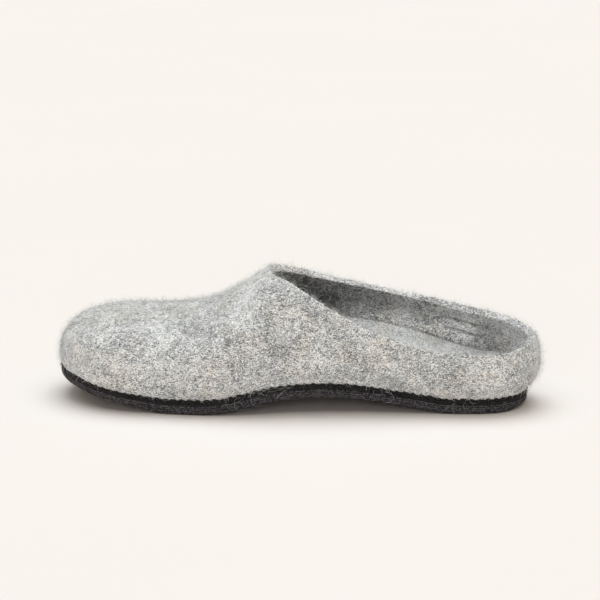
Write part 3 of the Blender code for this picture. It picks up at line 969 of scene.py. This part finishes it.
Cup = namedtuple("Cup", "at lateral medial arch")
CUP = (
    Cup(0.00, 0.00, 0.00, 0.00),
    Cup(0.30, 0.10, 0.10, 0.00),
    Cup(0.45, 0.45, 0.40, 0.55),
    Cup(0.58, 0.70, 0.60, 1.00),
    Cup(0.72, 0.90, 0.90, 0.78),
    Cup(0.80, 0.98, 0.98, 0.45),
    Cup(0.90, 1.00, 1.00, 0.00),
    Cup(1.00, 1.00, 1.00, 0.00),
)


def insole_foot(at):
    return felt_foot(at) + FELT_WALL + SEAT_GAP


def insole_rise(rib, share):
    """How far the insole stands up at a share of the way out to its edge."""
    edge = HEEL_CUP * smooth(CUP, "lateral" if rib.side == LATERAL else "medial", rib.at)
    if rib.side == MEDIAL:
        edge += ARCH_SUPPORT * smooth(CUP, "arch", rib.at)
    return edge * share**CUP_POWER


def insole_line(rib):
    """One cut through the insole: along its underside to the edge, and back over its top."""
    foot = insole_foot(rib.share_at(rib.foot_reach))
    edge = foot + INSOLE_THICKNESS + insole_rise(rib, 1.0)
    low_reach = rib.inner_reach(foot) - INSOLE_PLAY
    high_reach = rib.inner_reach(edge) - INSOLE_PLAY
    low, high = [], []
    for step in range(INSOLE_STEPS + 1):
        share = step / INSOLE_STEPS
        reach = low_reach * share
        low.append(rib.place(reach, insole_foot(rib.share_at(reach))))
        reach = high_reach * share
        top = insole_foot(rib.share_at(reach)) + INSOLE_THICKNESS + insole_rise(rib, share)
        high.append(rib.place(reach, top))
    return low + high[::-1]


insole = skin("felt_insole", [insole_line(rib) for rib in ribs])
# painted shade on the insole, darker towards the heel's back
painted_shade = insole.data.attributes.new("shade", "FLOAT", "POINT")
lengthwise = [at_x(v.co.x) for v in insole.data.vertices]
painted_shade.data.foreach_set("value", [1 - HEEL_PAINTED_SHADE * smooth_share(at, *HEEL_PAINTED_SHADE_AT) for at in lengthwise])
insole.data.materials.append(felted_wool("pressed_grey_felt", PRESSED_FELT, shaded=True))
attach(insole, "root")
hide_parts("insole")


# The nap
# Loose ends of wool that stand out of the felt all over, light and dark. Each is a
# tapered, bent fibre, drawn thicker than the real 0.03 mm so that it shows.

Nap = namedtuple("Nap", "name host per_mm2 length radius rise seed colours")
LIGHT_WOOL = ("#dadcd9", "#fffffc")
DARK_WOOL = ("#3c3f41", "#808486")
BLACK_WOOL = ("#050405", "#1b191b")
NAPS = (
    Nap("body_nap_light", body, 0.26, 0.0036, 0.000090, 0.20, 11, LIGHT_WOOL),
    Nap("body_nap_grey", body, 0.24, 0.0032, 0.000085, 0.06, 12, DARK_WOOL),
    Nap("body_fuzz", body, 0.26, 0.0046, 0.000060, 0.45, 13, LIGHT_WOOL),
    Nap("body_haze", body, 0.22, 0.0054, 0.000050, 0.55, 16, LIGHT_WOOL),
    Nap("insole_nap", insole, 0.20, 0.0030, 0.000060, 0.12, 14, LIGHT_WOOL),
    Nap("band_nap", band, 3.00, 0.0022, 0.000070, 0.40, 15, BLACK_WOOL),
)
MM2_PER_M2 = 1e6
FIBRE_ASIDE = (-0.45, -0.18, 0.1, 0.3, 0.5)  # five kinds of fibre, by how far each bends aside
FIBRE_SEGMENTS = 2
FIBRE_DROOP = -0.7  # how far the tip falls back toward the felt
FIBRE_UPRIGHT = 2.4
FIBRE_TILT = 0.15
FIBRE_LENGTHS = (0.45, 1.35)
UPWARD = 0.3  # least normal of the insole's top
SIDEWAYS = 0.6  # greatest upright normal of the band's side


def wool_fibre(name, colours):
    """Single wool fibres: matt, each one dyed or natural, from dark to light."""
    material, tree, shader = new_material(name, 0.8, 0.2)
    each = add(tree, "ShaderNodeNewGeometry").outputs["Random Per Island"]
    dye(tree, shader, each, colours)
    return material


def fibre_kinds(tree, given):
    """The kinds of fibre as instances, each a thin cone of length 1 bent its own way."""
    thin = add(tree, "ShaderNodeMath", {0: given["Radius"], 1: given["Length"]}, operation="DIVIDE")
    kinds = add(tree, "GeometryNodeJoinGeometry")
    for aside in FIBRE_ASIDE:
        cone = add(
            tree, "GeometryNodeMeshCone",
            {"Vertices": 3, "Side Segments": FIBRE_SEGMENTS, "Radius Top": 0.0, "Radius Bottom": thin,
             "Depth": 1.0},
            fill_type="NGON",
        )
        at = add(tree, "ShaderNodeSeparateXYZ", {0: add(tree, "GeometryNodeInputPosition")})
        squared = add(tree, "ShaderNodeMath", {0: at.outputs[2], 1: at.outputs[2]}, operation="MULTIPLY")
        bent = add(
            tree, "ShaderNodeMath", {0: squared, 1: aside, 2: at.outputs[1]}, operation="MULTIPLY_ADD"
        )
        drooped = add(
            tree, "ShaderNodeMath", {0: squared, 1: FIBRE_DROOP, 2: at.outputs[2]}, operation="MULTIPLY_ADD"
        )
        risen = add(tree, "ShaderNodeMath", {0: drooped, 1: given["Rise"]}, operation="MULTIPLY")
        over = add(
            tree, "ShaderNodeMath", {0: risen, 1: FIBRE_UPRIGHT, 2: at.outputs[0]}, operation="MULTIPLY_ADD"
        )
        laid = add(tree, "ShaderNodeCombineXYZ", {"X": at.outputs[2], "Y": bent, "Z": over})
        fibre = add(tree, "GeometryNodeSetPosition", {"Geometry": cone.outputs["Mesh"], "Position": laid})
        single = add(tree, "GeometryNodeGeometryToInstance", {0: fibre})
        tree.links.new(single.outputs[0], kinds.inputs[0])
    return kinds


def nap_tree(name, material, seed):
    """Fibres scattered over a surface, lying every way along it, of five kinds."""
    tree, given = geometry_tree(name, ("Density", "Length", "Radius", "Rise"))
    where = add(tree, "GeometryNodeInputNamedAttribute", {"Name": "nap"}, data_type="FLOAT")
    dense = add(
        tree, "ShaderNodeMath", {0: given["Density"], 1: where.outputs["Attribute"]}, operation="MULTIPLY"
    )
    roots = add(
        tree, "GeometryNodeDistributePointsOnFaces",
        {"Mesh": given["Geometry"], "Density": dense, "Seed": seed}, distribute_method="RANDOM",
    )
    kinds = fibre_kinds(tree, given)
    spin = add(
        tree, "FunctionNodeRandomValue",
        {0: (-FIBRE_TILT, -FIBRE_TILT, 0.0), 1: (FIBRE_TILT, FIBRE_TILT, math.tau),
         "Seed": seed + 1}, data_type="FLOAT_VECTOR",
    )
    spun = add(tree, "FunctionNodeEulerToRotation", {0: spin})
    lying = add(
        tree, "FunctionNodeRotateRotation", {0: roots.outputs["Rotation"], 1: spun}, rotation_space="LOCAL"
    )
    vary = add(
        tree, "FunctionNodeRandomValue",
        {2: FIBRE_LENGTHS[0], 3: FIBRE_LENGTHS[1], "Seed": seed + 2}, data_type="FLOAT",
    )
    size = add(tree, "ShaderNodeMath", {0: vary.outputs[1], 1: given["Length"]}, operation="MULTIPLY")
    which = add(
        tree, "FunctionNodeRandomValue", {4: 0, 5: len(FIBRE_ASIDE) - 1, "Seed": seed + 3}, data_type="INT"
    )
    grown = add(
        tree, "GeometryNodeInstanceOnPoints",
        {"Points": roots.outputs["Points"], "Instance": kinds, "Pick Instance": True,
         "Instance Index": which.outputs[2], "Rotation": lying, "Scale": size},
    )
    finish_tree(tree, grown, material)
    return tree


def mark_nap(piece, grows):
    """Keeps on each point of a piece whether fibres grow there."""
    marks = piece.data.attributes.new("nap", "FLOAT", "POINT")
    marks.data.foreach_set("value", [1.0 if grows(v) else 0.0 for v in piece.data.vertices])


mark_nap(insole, lambda v: v.normal.z > UPWARD and at_x(v.co.x) > NAP_FROM_AT)
mark_nap(band, lambda v: abs(v.normal.z) < SIDEWAYS)
for n in NAPS:
    fibres = run_tree(
        nap_tree(n.name, wool_fibre(n.name, n.colours), n.seed), n.host, n.name,
        {"Density": n.per_mm2 * MM2_PER_M2, "Length": n.length, "Radius": n.radius, "Rise": n.rise},
    )
    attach(fibres, "root")


# Loose curly fibres
# Long grey wool fibres that cling to the sole's edge in a few places, as they do on a new
# felt shoe. Each is a curl that starts on the band and wanders over the rubber.

Curl = namedtuple("Curl", "at count spread length seed")
CURLS = (
    Curl(0.422, 14, 0.010, 0.015, 1),
    Curl(0.665, 4, 0.008, 0.010, 2),
    Curl(0.845, 5, 0.008, 0.011, 3),
    Curl(0.935, 1, 0.002, 0.006, 4),
    Curl(0.540, 2, 0.016, 0.009, 5),
)
CURL_RADIUS = 0.00006
CURL_POINTS = 18
CURL_STAND = 0.0005  # off the sole's edge, more at a curl's waves
CURL_STAND_LEAST, CURL_STAND_WAVE = 0.6, 0.4
CURL_STARTS = (-0.002, 0.0015)  # below and above the band's top
CURL_LENGTHS = (0.45, 1.2)
CURL_LEAN = 0.9
CURL_TURN = 7.0
CURL_WAVES = (0.5, 1.1)
CURL_SWINGS = (0.0, 0.25)
EDGE_SEEN_AT = (0.05, 0.97)
LOOSE_WOOL = ("#8f9190", "#d6d7d3")


def edge_point(x, z):
    """A point on the outer side of the sole's edge, on the ribs beside it."""
    near = [r for r in ribs if r.side == LATERAL and EDGE_SEEN_AT[0] < r.at < EDGE_SEEN_AT[1]]
    reach = {r: r.foot_reach + SOLE_LIP + EDGE_BULGE for r in near}
    closest = sorted(near, key=lambda r: abs(r.place(reach[r], 0).x - x))[:2]
    a, b = (r.place(reach[r], z) for r in closest)
    t = (x - a.x) / (b.x - a.x) if abs(b.x - a.x) > WELD else 0.0
    return a.lerp(b, min(1.0, max(0.0, t)))


def lay_curl(curls, clump, chance):
    """One fibre of a clump, as a line of points that turns as it goes."""
    x = x_at(clump.at) + chance.uniform(-clump.spread, clump.spread)
    z = midsole_top(at_x(x)) + chance.uniform(*CURL_STARTS)
    step = clump.length * chance.uniform(*CURL_LENGTHS) / CURL_POINTS
    heading = chance.choice((0.0, math.pi)) + chance.uniform(-CURL_LEAN, CURL_LEAN)
    turn = chance.uniform(-CURL_TURN, CURL_TURN)
    wave = chance.uniform(*CURL_WAVES)
    swing = chance.uniform(*CURL_SWINGS)
    spline = curls.splines.new("POLY")
    spline.points.add(CURL_POINTS - 1)
    for k, point in enumerate(spline.points):
        z = max(z, tread(at_x(x)) + CURL_RADIUS)
        place = edge_point(x, z)
        place.y -= CURL_STAND * (CURL_STAND_LEAST + CURL_STAND_WAVE * math.sin(k * wave))
        point.co = (*place, 1.0)
        heading += turn / CURL_POINTS + swing * math.sin(k * wave)
        x += step * math.cos(heading)
        z += step * math.sin(heading)


curls = bpy.data.curves.new("loose_fibres", "CURVE")
curls.dimensions = "3D"
curls.bevel_depth = CURL_RADIUS
curls.bevel_resolution = 0
curls.use_fill_caps = True
for clump in CURLS:
    chance = random.Random(clump.seed)
    for _ in range(clump.count):
        lay_curl(curls, clump, chance)
curl_guide = put("loose_fibres", curls)
loose = put("loose_wool_fibres", plain_mesh(curl_guide))
bpy.data.objects.remove(curl_guide)
loose.data.materials.clear()
loose.data.materials.append(wool_fibre("loose_grey_wool", LOOSE_WOOL))
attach(loose, "root")


# The stage
# A flat cream floor that fills the view, three soft lights and an even pale surround.
# The camera stands low at the outer side, as in the photo.

FLOOR_REACH = 6.0
CARD_TONES = ("#ebe6e1", "#ede8e3")
CARD_WAVES_PER_METRE = 3.0


def cream_card():
    """Cream background card: quite matt, with a tone that hardly changes over the floor."""
    material, tree, shader = new_material("cream_card", 1.0, specular=0.0)
    place = add(tree, "ShaderNodeTexCoord").outputs["Object"]
    tone = add(tree, "ShaderNodeTexNoise", {"Vector": place, "Scale": CARD_WAVES_PER_METRE, "Detail": 1.0})
    dye(tree, shader, tone, CARD_TONES)
    return material


flat = bmesh.new()
bmesh.ops.create_grid(flat, x_segments=1, y_segments=1, size=FLOOR_REACH)
floor_mesh = bpy.data.meshes.new("studio_floor")
flat.to_mesh(floor_mesh)
flat.free()
floor = put("studio_floor", floor_mesh)
floor.data.materials.append(cream_card())

world = bpy.data.worlds.new("surround")
bpy.context.scene.world = world
world.use_nodes = True
surround = world.node_tree.nodes["Background"]
surround.inputs["Color"].default_value = linear("#ffead1")
surround.inputs["Strength"].default_value = 0.30

# A wide softbox overhead, one behind the shoe, and a low card in front that lifts the
# near side. Each is given by its lean forward and sideways from overhead and its width
# as the shoe sees it, all in degrees, its strength and its colour.
Light = namedtuple("Light", "name forward side width power colour")
LIGHTS = (
    Light("overhead_softbox", 0, -3, 84, 1.38, "#f1f9ff"),
    Light("back_softbox", -20, -2, 46, 1.46, "#f1f9ff"),
    Light("front_card", 76, 0, 30, 0.86, "#fdfcff"),
)
for light in LIGHTS:
    lamp = bpy.data.lights.new(light.name, "SUN")
    lamp.angle = math.radians(light.width)
    lamp.energy = light.power
    lamp.color = linear(light.colour)[:3]
    holder = put(light.name, lamp)
    holder.rotation_euler = (math.radians(light.forward), math.radians(light.side), 0.0)

PHOTO_SIDE = 600
PIXELS_PER_METRE = 1865.0
CAMERA_DISTANCE = 1.2
CAMERA_TURN, CAMERA_RISE = math.radians(5), math.radians(12)
CAMERA_AIM = Vector((0.0012, 0.0, 0.0534))
SENSOR = 36.0

lens = bpy.data.cameras.new("photo_camera")
lens.sensor_width = SENSOR
lens.lens = PIXELS_PER_METRE * CAMERA_DISTANCE * SENSOR / PHOTO_SIDE
camera = put("photo_camera", lens)
level_way = Vector((math.sin(CAMERA_TURN), -math.cos(CAMERA_TURN), 0)) * math.cos(CAMERA_RISE)
camera.location = CAMERA_AIM + CAMERA_DISTANCE * (level_way + Vector((0, 0, math.sin(CAMERA_RISE))))
camera.rotation_euler = (CAMERA_AIM - camera.location).to_track_quat("-Z", "Y").to_euler()
bpy.context.scene.camera = camera
bpy.context.scene.view_settings.view_transform = "Standard"
